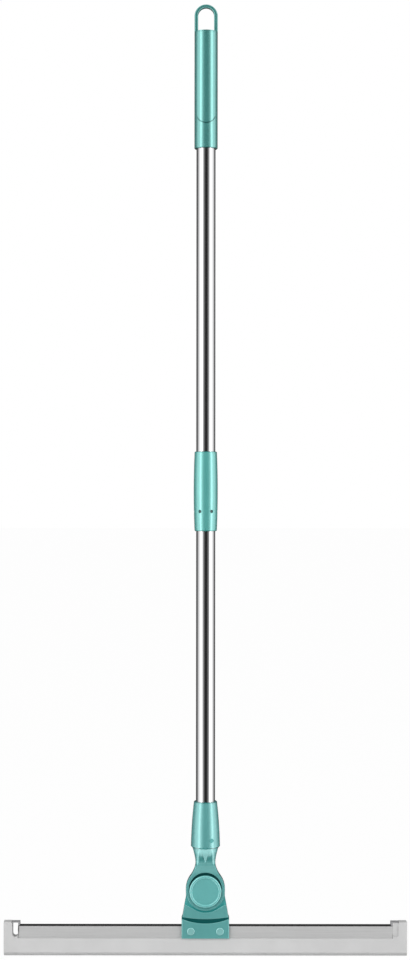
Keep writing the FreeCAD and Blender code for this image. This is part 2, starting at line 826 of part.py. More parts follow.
def build_pivot_clip():
    """Open spring clip in the hub's groove, which keeps the bracket on the hub."""
    body = make_body("pivot_clip", size("pivot_height"))
    front = size("recess_floor") + size("press_clearance")
    sketch = make_sketch(body, "XZ_Plane", -front)
    draw_circle(sketch, clip_outer)
    draw_circle(sketch, clip_inner)
    pad(body, sketch, size("clip_thickness"), Reversed=True)
    half = size("clip_opening") / 2
    mouth = make_sketch(body, "XZ_Plane")
    draw_loop(mouth, rectangle(-half, -clip_outer * 2, half, 0.0))
    pocket(body, mouth, size("tongue_back") * 2, SideType="Symmetric")


def build_rear_cap():
    """Cover snapped into the bracket's back, with room for the pressed lock ring."""
    body = make_body("rear_cap", size("pivot_height"))
    seat = size("tongue_back")
    crown = seat + size("cap_depth")
    inside = crown - size("cap_wall")
    rim = size("cap_radius")
    lip_outer = size("recess_radius") - size("press_clearance")
    lip_inner = lip_outer - size("cap_wall")
    crown_radius = rim - size("cap_depth")
    corners = [(crown, 0.0), (crown, crown_radius), (seat, rim), (seat, lip_outer),
               (seat - size("cap_lip"), lip_outer), (seat - size("cap_lip"), lip_inner),
               (seat + size("cap_lip"), lip_inner), (inside, crown_radius), (inside, 0.0)]
    bend = size("cap_depth") * math.sqrt(0.5)
    profile = make_sketch(body, "YZ_Plane")
    draw_loop(profile, corners, {1: (seat + bend, crown_radius + bend)})
    turn(body, profile, axis="H_Axis")


# ---------------------------------------------------------------- head
def build_head_bracket():
    """Tongue of the swivel, skirt below the boss and rear jaw of the channel clamp."""
    body = make_body("head_bracket", size("pivot_height"))
    foot = size("foot_half_width")
    skirt = size("skirt_half_width")
    boss = size("boss_radius")
    back = size("tongue_back")
    deep = size("neck_half_depth")
    low = above_pivot("skirt_bottom")
    ledge = above_pivot("skirt_bottom_middle")
    high = above_pivot("skirt_top")
    under = web_bottom - size("pivot_height")
    jaw_low = above_pivot("channel_bottom")
    flank = (size("skirt_flank_x"), above_pivot("skirt_flank_height"))

    tongue = make_sketch(body, "XZ_Plane", -half_gap)
    corners = [(foot, under), (foot, ledge), (skirt, low), (boss, high), (boss, 0.0),
               (-boss, 0.0), (-boss, high), (-skirt, low), (-foot, ledge), (-foot, under)]
    draw_loop(tongue, corners, {2: flank, 4: (0.0, boss), 6: (-flank[0], flank[1])})
    pad(body, tongue, back - half_gap, Reversed=True)

    jaw = make_sketch(body, "XZ_Plane", -jaw_inner)
    draw_loop(jaw, rectangle(-foot, jaw_low, foot, under))
    pad(body, jaw, back - jaw_inner, Reversed=True)

    front = make_sketch(body, "XZ_Plane", -half_gap)
    corners = [(skirt, low), (boss, high), (-boss, high), (-skirt, low)]
    draw_loop(front, corners, {0: flank, 2: (-flank[0], flank[1]), 3: (0.0, ledge)})
    pad(body, front, deep + half_gap)

    sweep = make_sketch(body, "XZ_Plane", deep + 1)
    rim_x = size("rim_half_width")
    rim_z = -leg(size("rim_radius"), rim_x)
    end_x = size("rim_shoulder_x")
    end_z = -size("rim_shoulder_drop")
    far_x = foot + 1
    far_z = end_z + (end_z - rim_z) * (far_x - end_x) / (end_x - rim_x)
    corners = [(rim_x, rim_z), (far_x, far_z), (far_x, 0.0), (-far_x, 0.0), (-far_x, far_z),
               (-rim_x, rim_z)]
    draw_loop(sweep, corners, {5: (0.0, -size("rim_radius"))})
    pocket(body, sweep, deep + 1 + half_gap)

    bore = size("hub_radius") + size("running_clearance")
    cross_hole(body, bore, (0.0, 0.0), back * 2)
    cross_hole(body, size("recess_radius"), (0.0, 0.0), back - size("recess_floor"),
               -back, Reversed=True)
    tooth = make_sketch(body, "XZ_Plane", -size("recess_floor"))
    half = size("tooth_width") / 2
    draw_loop(tooth, rectangle(-half, size("tooth_inner"), half, size("tooth_outer")))
    teeth = pad(body, tooth, size("tooth_height"), Reversed=True)
    around(body, teeth, "Y_Axis", int(size("tooth_count").value))

    drill = make_sketch(body, "XZ_Plane")
    for side in (size("clamp_screw_x"), -size("clamp_screw_x")):
        draw_circle(drill, clamp_hole, (side, above_pivot("clamp_screw_z")))
    pocket(body, drill, back * 2)
    round_edges(body, size("edge_round") / 2, in_plane(-deep))


def build_clamp_plate():
    """Front jaw of the channel clamp, with a dished top edge and two screw bosses."""
    body = make_body("clamp_plate", size("channel_bottom"))
    foot = size("foot_half_width")
    base = size("channel_bottom")
    outline = make_sketch(body, "XZ_Plane", jaw_inner)
    corners = rectangle(-foot, 0.0, foot, size("plate_top") - base)
    draw_loop(outline, corners, {2: (0.0, size("plate_top_middle") - base)})
    pad(body, outline, size("clamp_wall"))
    round_edges(body, size("edge_round"), in_plane(-jaw_front))
    for side in (size("clamp_screw_x"), -size("clamp_screw_x")):
        bump = make_sketch(body, "XZ_Plane", jaw_front)
        draw_circle(bump, size("bump_radius"), (side, size("clamp_screw_z") - base))
        pad(body, bump, size("bump_height"))
    face = in_plane(-(jaw_front + size("bump_height")))
    round_edges(body, size("bump_height") * 0.9, face)
    for side in (size("clamp_screw_x"), -size("clamp_screw_x")):
        spot = (side, size("clamp_screw_z") - base)
        cross_hole(body, size("screw_radius") + size("press_clearance"), spot, size("clamp_wall"),
                   jaw_inner, Reversed=True)


def build_clamp_screws():
    """Two screws from the back, through the channel, into the front jaw."""
    body = make_body("clamp_screws", size("clamp_screw_z"))
    for side in (size("clamp_screw_x"), -size("clamp_screw_x")):
        shank = make_sketch(body, "XZ_Plane", -size("tongue_back"))
        draw_circle(shank, size("screw_radius"), (side, 0.0))
        pad(body, shank, size("tongue_back") + jaw_front - size("free_clearance"))
        cap = make_sketch(body, "XZ_Plane", -size("tongue_back"))
        draw_circle(cap, size("screw_head_radius"), (side, 0.0))
        pad(body, cap, size("screw_head_height"), Reversed=True)
    outer = size("tongue_back") + size("screw_head_height")
    round_edges(body, size("edge_round"), in_plane(outer))
    slot = make_sketch(body, "XZ_Plane", -outer)
    half_width = size("edge_round") / 2
    for side in (size("clamp_screw_x"), -size("clamp_screw_x")):
        reach = size("screw_head_radius") * 0.6
        draw_loop(slot, rectangle(side - reach, -half_width, side + reach, half_width))
    pocket(body, slot, size("edge_round"), Reversed=True)


# ---------------------------------------------------------------- channel and rubber
def build_blade_channel():
    """Extruded aluminium H-section: lips below hold the rubber's bead, the top is open."""
    body = make_body("blade_channel", size("channel_bottom"))
    tall = size("channel_top") - size("channel_bottom")
    wall = size("channel_wall")
    outer = size("channel_half_depth")
    inner = outer - wall
    lip = size("channel_slot") / 2
    section = make_sketch(body, "YZ_Plane")
    web_low = size("channel_web") - size("channel_bottom")
    corners = [(-outer, 0.0), (-lip, 0.0), (-lip, wall), (-inner, wall), (-inner, web_low),
               (inner, web_low), (inner, wall), (lip, wall), (lip, 0.0), (outer, 0.0),
               (outer, tall), (inner, tall), (inner, web_low + wall), (-inner, web_low + wall),
               (-inner, tall), (-outer, tall)]
    draw_loop(section, corners)
    pad(body, section, size("channel_length"), SideType="Symmetric")

    def top_edge(edge, middle):
        return near(middle.z, tall) and near(abs(middle.y), outer) and near(middle.x, 0.0)

    round_edges(body, wall / 2, top_edge)
    drill = make_sketch(body, "XZ_Plane")
    for side in (size("clamp_screw_x"), -size("clamp_screw_x")):
        draw_circle(drill, clamp_hole, (side, size("clamp_screw_z") - size("channel_bottom")))
    pocket(body, drill, outer * 4, SideType="Symmetric")


def build_end_clips():
    """Two bent metal plates that stand on the channel's ends and lie on the rubber's blocks."""
    body = make_body("end_clips", size("channel_top"))
    under = clip_plate_bottom - size("channel_top")
    top = size("end_block_top") - size("channel_top")
    inner = clip_plate_outer - size("clip_plate_length")
    corners = [(inner, 0.0), (channel_end, 0.0), (channel_end, under),
               (clip_plate_outer, under), (clip_plate_outer, top), (inner, top)]
    for direction in (1, -1):
        sketch = make_sketch(body, "XZ_Plane")
        draw_loop(sketch, [(across * direction, height) for across, height in corners])
        pad(body, sketch, size("channel_half_depth") * 2, SideType="Symmetric")


def build_rubber_blade():
    """Moulded rubber: blade, bead inside the channel, and a notched block at each end."""
    body = make_body("rubber_blade")
    thick = size("blade_half_depth")
    edge = size("edge_half_depth")
    shoulder = size("channel_bottom")
    section = make_sketch(body, "YZ_Plane")
    corners = [(-edge, 0.0), (edge, 0.0), (thick, size("bevel_height")), (thick, shoulder),
               (-thick, shoulder), (-thick, size("bevel_height"))]
    draw_loop(section, corners)
    pad(body, section, size("blade_length"), SideType="Symmetric")

    gap = size("press_clearance") * 4
    neck = size("channel_slot") / 2 - gap
    bulb = size("channel_half_depth") - size("channel_wall") - gap
    bulb_low = shoulder + size("channel_wall") + gap
    bead = make_sketch(body, "YZ_Plane")
    corners = [(-neck, shoulder), (neck, shoulder), (neck, bulb_low), (bulb, bulb_low),
               (bulb, size("bead_top")), (-bulb, size("bead_top")), (-bulb, bulb_low),
               (-neck, bulb_low)]
    draw_loop(bead, corners)
    start = channel_end + size("free_clearance")
    pad(body, bead, start * 2, SideType="Symmetric")

    end = size("blade_length") / 2
    for direction in (1, -1):
        block = make_sketch(body, "XZ_Plane")
        cut = clip_plate_outer + gap
        seat = clip_plate_bottom - gap / 2
        points = [(start, shoulder), (end, shoulder), (end, size("end_block_top")),
                  (cut, size("end_block_top")), (cut, seat), (start, seat)]
        draw_loop(block, [(across * direction, height) for across, height in points])
        pad(body, block, thick * 2, SideType="Symmetric")
        notch = make_sketch(body, "XZ_Plane", thick)
        floor = size("notch_floor")
        round_top = floor + (block_inner - start) / 2
        points = [(start, round_top), (block_inner, round_top), (block_inner, seat), (start, seat)]
        middle = ((start + block_inner) / 2 * direction, floor)
        draw_loop(notch, [(across * direction, height) for across, height in points], {0: middle})
        if direction < 0:
            pocket(body, notch, thick * 2)
        else:
            pocket(body, notch, size("notch_depth"))
    drill = make_sketch(body, "XZ_Plane")
    for side in (size("clamp_screw_x"), -size("clamp_screw_x")):
        draw_circle(drill, clamp_hole, (side, size("clamp_screw_z")))
    pocket(body, drill, thick * 4, SideType="Symmetric")


# ---------------------------------------------------------------- build and write
BUILDERS = [
    build_rubber_blade, build_blade_channel, build_end_clips, build_clamp_screws,
    build_clamp_plate, build_head_bracket, build_rear_cap, build_pivot_clip,
    build_pivot_washer, build_button_screw, build_lock_ring, build_button_spring,
    build_lock_button, build_socket_pin, build_neck_socket, build_lower_tube,
    build_coupler_sleeve, build_coupler_insert, build_coupler_pins, build_thread_seal_ring,
    build_upper_thread_plug, build_plug_cross_pin, build_upper_tube, build_grip_sleeve,
    build_hanging_loop,
]


def check_document():
    """Stop if any object of the document failed."""
    for item in document.Objects:
        if "Invalid" in item.State or "Error" in item.State:
            raise RuntimeError(f"{item.Label} is in state {item.State}")


def write_parts():
    """Write each sub-part's solid to parts/LABEL.step."""
    os.makedirs("parts", exist_ok=True)
    for builder in BUILDERS:
        label = builder.__name__.replace("build_", "")
        item = document.getObjectsByLabel(label)[0]
        shape = item.Shape
        if shape.isNull() or not shape.isValid() or shape.Volume <= 0:
            raise RuntimeError(f"{label} has no valid solid")
        shape.exportStep(os.path.join("parts", f"{label}.step"))
        box = shape.BoundBox
        print(label, len(shape.Solids), round(shape.Volume, 1),
              [round(number, 2) for number in (box.XMin, box.YMin, box.ZMin)],
              [round(number, 2) for number in (box.XMax, box.YMax, box.ZMax)])


for builder in BUILDERS:
    builder()
document.recompute()
check_document()
write_parts()
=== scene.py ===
import math

import bmesh
import bpy
from mathutils import Matrix, Vector


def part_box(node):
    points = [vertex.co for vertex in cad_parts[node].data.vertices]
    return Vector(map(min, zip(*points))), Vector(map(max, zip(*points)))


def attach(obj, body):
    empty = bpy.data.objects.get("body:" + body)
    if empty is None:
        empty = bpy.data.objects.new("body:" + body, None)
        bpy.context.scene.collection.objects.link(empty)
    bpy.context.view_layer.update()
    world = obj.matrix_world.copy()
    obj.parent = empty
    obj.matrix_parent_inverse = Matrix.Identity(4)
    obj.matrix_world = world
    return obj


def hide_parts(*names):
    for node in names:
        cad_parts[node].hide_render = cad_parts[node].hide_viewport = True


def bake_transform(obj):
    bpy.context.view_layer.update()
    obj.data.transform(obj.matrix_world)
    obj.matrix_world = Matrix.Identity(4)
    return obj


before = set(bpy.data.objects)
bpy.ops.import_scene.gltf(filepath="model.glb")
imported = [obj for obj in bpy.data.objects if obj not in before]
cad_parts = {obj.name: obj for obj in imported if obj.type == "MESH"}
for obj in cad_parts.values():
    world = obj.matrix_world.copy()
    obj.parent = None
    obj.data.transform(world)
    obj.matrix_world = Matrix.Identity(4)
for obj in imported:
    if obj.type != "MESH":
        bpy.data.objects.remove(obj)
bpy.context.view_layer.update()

bl_info = {
    "name": "Window squeegee",
    "version": (1, 0, 0),
    "blender": (4, 5, 0),
    "location": "View3D > Sidebar > Squeegee",
    "description": "Dresses a pole squeegee: teal mouldings, chromed pole, rubber and channel",
    "category": "Object",
}

MM = 0.001
WHITE = (1.0, 1.0, 1.0, 1.0)
BLACK = (0.03, 0.03, 0.03, 1.0)


# ------------------------------------------------------------------ settings
class SqueegeeFinish(bpy.types.PropertyGroup):
    """Colours and surface values of the squeegee."""

    teal: bpy.props.FloatVectorProperty(
        name="Teal", description="Colour of the thick mouldings of the head",
        default=(0.175, 0.56, 0.545), size=3, min=0.0, max=1.0, subtype="COLOR")
    teal_sleeve: bpy.props.FloatVectorProperty(
        name="Sleeve teal", description="Colour of the thin sleeves over the tube",
        default=(0.14, 0.55, 0.51), size=3, min=0.0, max=1.0, subtype="COLOR")
    chrome: bpy.props.FloatVectorProperty(
        name="Chrome", description="Reflection colour of the plated tubes",
        default=(0.93, 0.93, 0.94), size=3, min=0.0, max=1.0, subtype="COLOR")
    channel: bpy.props.FloatVectorProperty(
        name="Channel", description="Colour of the satin aluminium channel",
        default=(0.60, 0.60, 0.60), size=3, min=0.0, max=1.0, subtype="COLOR")
    rubber: bpy.props.FloatVectorProperty(
        name="Rubber", description="Colour of the pale grey rubber",
        default=(0.54, 0.54, 0.54), size=3, min=0.0, max=1.0, subtype="COLOR")


class SqueegeeSizes(bpy.types.PropertyGroup):
    """Sizes of the modelled rubber and small fittings."""

    edge_width: bpy.props.FloatProperty(
        name="Wiping edge", description="Width of the flat edge that meets the glass",
        default=3.0 * MM, min=0.0, unit="LENGTH")
    bevel_height: bpy.props.FloatProperty(
        name="Bevel height", description="Height at which the blade reaches full thickness",
        default=4.4 * MM, min=0.0, unit="LENGTH")
    softening: bpy.props.FloatProperty(
        name="Softening", description="Radius on the rubber's edges",
        default=0.45 * MM, min=0.0, unit="LENGTH")
    notch_floor: bpy.props.FloatProperty(
        name="Notch floor", description="Height of the lowest point of an end notch",
        default=22.1 * MM, min=0.0, unit="LENGTH")
    block_width: bpy.props.FloatProperty(
        name="End block", description="Width of the block at each end of the rubber",
        default=10.0 * MM, min=0.0, unit="LENGTH")
    plate_seat: bpy.props.FloatProperty(
        name="Plate seat", description="How far the clip's seat lies below the block's top",
        default=1.1 * MM, min=0.0, unit="LENGTH")
    notch_depth: bpy.props.FloatProperty(
        name="Blind notch depth", description="Depth of the notch that doesn't go through",
        default=1.6 * MM, min=0.0, unit="LENGTH")
    spring_wire: bpy.props.FloatProperty(
        name="Spring wire", description="Thickness of the button spring's wire",
        default=0.9 * MM, min=0.0, unit="LENGTH")
    spring_turns: bpy.props.FloatProperty(
        name="Spring turns", description="Turns of the button's spring", default=2.0, min=0.5)


# ------------------------------------------------------------------ material helpers
def new_material(name):
    """Return a material with only a Principled shader and its output."""
    material = bpy.data.materials.new(name)
    material.use_nodes = True
    tree = material.node_tree
    tree.nodes.clear()
    output = tree.nodes.new("ShaderNodeOutputMaterial")
    shader = tree.nodes.new("ShaderNodeBsdfPrincipled")
    tree.links.new(shader.outputs["BSDF"], output.inputs["Surface"])
    return material, tree, shader


def add_node(tree, kind, inputs=None, **settings):
    """Add a node, set its properties and the defaults of its inputs."""
    node = tree.nodes.new(kind)
    for name, value in settings.items():
        setattr(node, name, value)
    for name, value in (inputs or {}).items():
        node.inputs[name].default_value = value
    return node


def calculate(tree, operation, first, second=None, **settings):
    """Add a maths node fed by a socket and by a second socket or a number."""
    node = add_node(tree, "ShaderNodeMath", operation=operation, **settings)
    tree.links.new(first, node.inputs[0])
    if isinstance(second, bpy.types.NodeSocket):
        tree.links.new(second, node.inputs[1])
    elif second is not None:
        node.inputs[1].default_value = second
    return node.outputs["Value"]


def object_place(tree):
    """Return the X, Y and Z of a point on the object as sockets."""
    place = add_node(tree, "ShaderNodeTexCoord")
    parts = add_node(tree, "ShaderNodeSeparateXYZ")
    tree.links.new(place.outputs["Object"], parts.inputs["Vector"])
    return parts.outputs


def set_stops(ramp, stops):
    """Put (position, level) pairs on a colour ramp."""
    elements = ramp.color_ramp.elements
    while len(elements) < len(stops):
        elements.new(0.5)
    for element, (position, level) in zip(elements, stops):
        element.position = position
        element.color = (level, level, level, 1.0)


def principled(material):
    """Return a material's tree and its Principled shader."""
    tree = material.node_tree
    return tree, next(node for node in tree.nodes if node.type == "BSDF_PRINCIPLED")


def object_noise(tree, scale, detail=3.0, stretch=(1.0, 1.0, 1.0)):
    """Noise on Object coordinates, stretched along chosen axes."""
    place = add_node(tree, "ShaderNodeTexCoord")
    mapping = add_node(tree, "ShaderNodeMapping", {"Scale": stretch})
    noise = add_node(tree, "ShaderNodeTexNoise", {"Scale": scale, "Detail": detail})
    tree.links.new(place.outputs["Object"], mapping.inputs["Vector"])
    tree.links.new(mapping.outputs["Vector"], noise.inputs["Vector"])
    return noise


def spread(tree, source, low, high):
    """Map a noise factor to a range of values."""
    node = add_node(tree, "ShaderNodeMapRange", {"To Min": low, "To Max": high})
    tree.links.new(source.outputs["Fac"], node.inputs["Value"])
    return node.outputs["Result"]


def tint(tree, source, dark, light):
    """Blend two colours by a noise factor."""
    ramp = add_node(tree, "ShaderNodeValToRGB")
    ramp.color_ramp.elements[0].position = 0.35
    ramp.color_ramp.elements[0].color = (*dark, 1.0)
    ramp.color_ramp.elements[1].position = 0.65
    ramp.color_ramp.elements[1].color = (*light, 1.0)
    tree.links.new(source.outputs["Fac"], ramp.inputs["Fac"])
    return ramp.outputs["Color"]


def bump(tree, shader, source, depth, strength=1.0):
    """Raise the surface by a noise, with a depth in metres."""
    node = add_node(tree, "ShaderNodeBump", {"Strength": strength, "Distance": depth})
    tree.links.new(source.outputs["Fac"], node.inputs["Height"])
    tree.links.new(node.outputs["Normal"], shader.inputs["Normal"])


def scaled(colour, factor):
    """Return a colour made lighter or darker, kept within 0 and 1."""
    return tuple(min(1.0, channel * factor) for channel in colour)


# ------------------------------------------------------------------ materials
COAT_IOR = 2.3
COAT_ROUGHNESS = 0.06
# Share of red kept in the painted glow.
GLOW_RED = 0.2

# How metallic, how coated and how rough each kind of moulding is.
COUPLER_GLOSS = (0.45, 1.0, 0.14)
GRIP_GLOSS = (0.65, 1.0, 0.14)
LOOP_GLOSS = (0.6, 0.65, 0.14)
NECK_GLOSS = (0.4, 0.8, 0.2)
HEAD_GLOSS = (0.3, 0.8, 0.22)
PIN_GLOSS = (0.0, 0.1, 0.4)

# Radius of the grip's skin in millimetres, and how bright the painted shade in the groove below it
# is.
GRIP_SKIN = 12.95
GRIP_GROOVE_SHADE = 0.3

# Heights in millimetres between which the painted shade of the recesses dies away.
NECK_FADE = (103.0, 110.0)
BRACKET_FADE = (46.0, 50.0)

# Depth in millimetres, front to back, and the painted light there: painted shade in the recesses,
# along the outlines and in the gap under the skirt, a painted highlight on the clamp's bumps, and
# the strength of the painted glow.
NECK_PAINTED_SHADE = [(-9.0, 1.0), (-8.97, 1.0), (-8.8, 0.42), (-7.9, 0.27), (-4.0, 0.24), (4.0, 0.3),
              (8.0, 0.9)]
BRACKET_PAINTED_SHADE = [(-9.0, 1.0), (-8.95, 1.0), (-8.6, 0.5), (-2.0, 0.3), (7.0, 0.3), (7.9, 1.0)]
BRACKET_GLOW = [(-9.0, 0.0), (-8.4, 0.0), (-7.4, 0.2), (3.0, 0.2), (8.0, 0.0)]
CLAMP_PAINTED_LIGHT = [(-9.0, 1.42), (-8.6, 1.3), (-8.1, 1.0), (-7.9, 1.0), (-7.0, 0.55), (-4.5, 0.4)]
NECK_GLOW = [(-9.0, 0.0), (-8.0, 0.0), (-7.4, 0.02), (-3.0, 0.02), (0.0, 0.0)]

# Height in millimetres, and the painted light there: painted highlight and shade bands on the neck,
# painted dark rims at the socket's and coupler's ends, and where the painted glow reaches.
SOCKET_PAINTED_LIGHT = [(93.0, 1.0), (98.0, 1.2), (107.0, 1.2), (111.0, 0.76), (117.0, 0.78), (121.0, 1.08),
                (124.3, 1.08), (124.5, 0.45), (125.6, 0.6), (126.2, 1.0),
                (176.3, 1.0), (176.8, 0.5), (177.4, 0.45)]
COUPLER_PAINTED_SHADE = [(487.9, 0.4), (488.5, 0.45), (488.9, 1.0), (578.3, 1.0), (578.7, 0.45),
                 (579.3, 0.4)]
BRACKET_GLOW_HEIGHTS = [(44.0, 0.45), (46.0, 0.45), (50.0, 1.0), (100.0, 1.0)]
NECK_GLOW_HEIGHTS = [(98.0, 1.0), (101.0, 0.0)]

# Places on the channel in millimetres, bounding the painted shade in its top groove and on its
# rims, and the dark stripe at its -X end.
CHANNEL_INNER = 3.35
GROOVE_FLOOR = 32.3
RIM_LOW = 34.3
CUT_EDGE = -213.8
CUT_LOW = 20.0
CUT_HIGH = 31.0
CUT_DARK = 0.9


def painted_light_level(tree, axis, stops, fade=None):
    """Return the painted light at each place along an axis: shade below one, highlight above one.

    stops are (millimetres, level) pairs. fade is a pair of heights in millimetres
    between which the painted light dies away going up.
    """
    first, last = stops[0][0], stops[-1][0]
    peak = max(level for _, level in stops)
    place = object_place(tree)
    share = add_node(tree, "ShaderNodeMapRange", {"From Min": first * MM, "From Max": last * MM})
    ramp = add_node(tree, "ShaderNodeValToRGB")
    set_stops(ramp, [((where - first) / (last - first), level / peak) for where, level in stops])
    tree.links.new(place[axis], share.inputs["Value"])
    tree.links.new(share.outputs["Result"], ramp.inputs["Fac"])
    bright = calculate(tree, "MULTIPLY", ramp.outputs["Color"], peak)
    if not fade:
        return bright
    low, high = fade
    gone = add_node(tree, "ShaderNodeMapRange", {"From Min": low * MM, "From Max": high * MM},
                    interpolation_type="SMOOTHSTEP")
    blend = add_node(tree, "ShaderNodeMix", {"B": 1.0})
    tree.links.new(place["Z"], gone.inputs["Value"])
    tree.links.new(gone.outputs["Result"], blend.inputs["Factor"])
    tree.links.new(bright, blend.inputs["A"])
    return blend.outputs["Result"]


def groove_shade_level(tree, radius, level):
    """Return the painted shade level inside a groove cut deeper than a radius from the pole's axis.
    """
    place = add_node(tree, "ShaderNodeTexCoord")
    flat = add_node(tree, "ShaderNodeVectorMath", operation="MULTIPLY")
    flat.inputs[1].default_value = (1.0, 1.0, 0.0)
    reach = add_node(tree, "ShaderNodeVectorMath", operation="LENGTH")
    share = add_node(tree, "ShaderNodeMapRange", {"To Min": level})
    tree.links.new(place.outputs["Object"], flat.inputs[0])
    tree.links.new(flat.outputs["Vector"], reach.inputs[0])
    outside = calculate(tree, "GREATER_THAN", reach.outputs["Value"], radius * MM)
    tree.links.new(outside, share.inputs["Value"])
    return share.outputs["Result"]


def glossy_teal(name, base, metallic, coat, roughness):
    """Glossy teal plastic with a clear coat that mirrors its surroundings."""
    material, tree, shader = new_material(name)
    cloud = object_noise(tree, 45.0, stretch=(1.0, 1.0, 0.4))
    colour = tint(tree, cloud, scaled(base, 0.97), scaled(base, 1.03))
    tree.links.new(colour, shader.inputs["Base Color"])
    grain = object_noise(tree, 500.0, detail=2.0)
    tree.links.new(spread(tree, grain, roughness * 0.85, roughness * 1.15),
                   shader.inputs["Roughness"])
    bump(tree, shader, grain, 0.004 * MM)
    shader.inputs["Metallic"].default_value = metallic
    shader.inputs["IOR"].default_value = 1.5
    shader.inputs["Coat Weight"].default_value = coat
    shader.inputs["Coat IOR"].default_value = COAT_IOR
    shader.inputs["Coat Roughness"].default_value = COAT_ROUGHNESS
    return material


def apply_painted_light(material, make_level, *settings):
    """Paint light into a teal material: scale its coat and colour by a painted light level made in
    its tree.

    Red falls faster than green and blue, so that painted shade stays a deep teal.
    """
    tree, shader = principled(material)
    level = make_level(tree, *settings)
    colour = shader.inputs["Base Color"].links[0].from_socket
    red = calculate(tree, "POWER", level, 2.0)
    tone = add_node(tree, "ShaderNodeCombineXYZ")
    product = add_node(tree, "ShaderNodeVectorMath", operation="MULTIPLY")
    coat = calculate(tree, "MULTIPLY", level, shader.inputs["Coat Weight"].default_value,
                     use_clamp=True)
    tree.links.new(red, tone.inputs["X"])
    tree.links.new(level, tone.inputs["Y"])
    tree.links.new(level, tone.inputs["Z"])
    tree.links.new(colour, product.inputs[0])
    tree.links.new(tone.outputs["Vector"], product.inputs[1])
    tree.links.new(product.outputs["Vector"], shader.inputs["Base Color"])
    tree.links.new(coat, shader.inputs["Coat Weight"])
    return material


def painted_glow(material, colour, depths, heights):
    """Paint a glow into the plastic as emission where both levels are above zero.

    The painted glow stands for light that has crossed much plastic, so it keeps little red.
    """
    red, green, blue = colour
    tree, shader = principled(material)
    shader.inputs["Emission Color"].default_value = (red * GLOW_RED, green, blue, 1.0)
    both = calculate(tree, "MULTIPLY", painted_light_level(tree, "Y", depths),
                     painted_light_level(tree, "Z", heights))
    tree.links.new(both, shader.inputs["Emission Strength"])


def chromed_steel(finish):
    """Bright chromed tube with the faintest draw lines along it."""
    material, tree, shader = new_material("chromed_steel")
    lines = object_noise(tree, 700.0, detail=1.0, stretch=(1.0, 1.0, 0.004))
    colour = tint(tree, lines, scaled(finish.chrome, 0.97), finish.chrome)
    tree.links.new(colour, shader.inputs["Base Color"])
    tree.links.new(spread(tree, lines, 0.045, 0.09), shader.inputs["Roughness"])
    shader.inputs["Metallic"].default_value = 1.0
    return material


def groove_shade_mask(tree):
    """One where painted shade goes, inside the channel's open top groove and on its rims, and zero
    elsewhere.
    """
    place = object_place(tree)
    side = calculate(tree, "ABSOLUTE", place["Y"])
    inside = calculate(tree, "LESS_THAN", side, CHANNEL_INNER * MM)
    above = calculate(tree, "GREATER_THAN", place["Z"], GROOVE_FLOOR * MM)
    rim = calculate(tree, "GREATER_THAN", place["Z"], RIM_LOW * MM)
    return calculate(tree, "MAXIMUM", rim, calculate(tree, "MULTIPLY", inside, above))


def cut_mask(tree):
    """Near one on a dark stripe along the channel's -X end, fading downwards."""
    place = object_place(tree)
    beyond = calculate(tree, "LESS_THAN", place["X"], CUT_EDGE * MM)
    rise = add_node(tree, "ShaderNodeMapRange",
                    {"From Min": CUT_LOW * MM, "From Max": CUT_HIGH * MM, "To Max": CUT_DARK},
                    interpolation_type="SMOOTHSTEP")
    tree.links.new(place["Z"], rise.inputs["Value"])
    return calculate(tree, "MULTIPLY", beyond, rise.outputs["Result"])


def satin_aluminium(finish):
    """Extruded aluminium with fine lines along the blade."""
    material, tree, shader = new_material("satin_aluminium")
    lines = object_noise(tree, 1500.0, detail=2.0, stretch=(0.01, 1.0, 1.0))
    colour = tint(tree, lines, scaled(finish.channel, 0.95), scaled(finish.channel, 1.04))
    # Painted shade: black mixed into the top groove and onto the rims, plus the dark stripe at the
    # -X end.
    groove = add_node(tree, "ShaderNodeMix", data_type="RGBA")
    groove.inputs["B"].default_value = BLACK
    dark = calculate(tree, "MAXIMUM", groove_shade_mask(tree), cut_mask(tree))
    tree.links.new(dark, groove.inputs["Factor"])
    tree.links.new(colour, groove.inputs["A"])
    tree.links.new(groove.outputs["Result"], shader.inputs["Base Color"])
    tree.links.new(spread(tree, lines, 0.34, 0.46), shader.inputs["Roughness"])
    bump(tree, shader, lines, 0.01 * MM)
    shader.inputs["Metallic"].default_value = 0.3
    return material


def pale_rubber(finish):
    """Smooth pale grey rubber with a faint mottle and a soft sheen."""
    material, tree, shader = new_material("pale_rubber")
    cloud = object_noise(tree, 35.0)
    colour = tint(tree, cloud, scaled(finish.rubber, 0.97), scaled(finish.rubber, 1.02))
    tree.links.new(colour, shader.inputs["Base Color"])
    grain = object_noise(tree, 1800.0, detail=2.0)
    tree.links.new(spread(tree, grain, 0.42, 0.55), shader.inputs["Roughness"])
    bump(tree, shader, grain, 0.02 * MM)
    shader.inputs["Specular IOR Level"].default_value = 0.35
    return material


def plated_steel(name="plated_steel", metallic=1.0):
    """Zinc plated steel of screws, pins and clips."""
    material, tree, shader = new_material(name)
    grain = object_noise(tree, 1200.0)
    colour = tint(tree, grain, (0.38, 0.38, 0.39), (0.50, 0.50, 0.51))
    tree.links.new(colour, shader.inputs["Base Color"])
    tree.links.new(spread(tree, grain, 0.22, 0.38), shader.inputs["Roughness"])
    shader.inputs["Metallic"].default_value = metallic
    return material


def plain_plastic(name, dark, light):
    """Matt moulded plastic of the inner fittings."""
    material, tree, shader = new_material(name)
    grain = object_noise(tree, 800.0)
    tree.links.new(tint(tree, grain, dark, light), shader.inputs["Base Color"])
    tree.links.new(spread(tree, grain, 0.42, 0.55), shader.inputs["Roughness"])
    bump(tree, shader, grain, 0.02 * MM)
    return material


def dress(material, *nodes):
    """Give CAD nodes a material."""
    for name in nodes:
        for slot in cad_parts[name].material_slots:
            slot.material = material


def finish_of(context):
    """Return the colours that the user set."""
    return context.scene.squeegee_finish


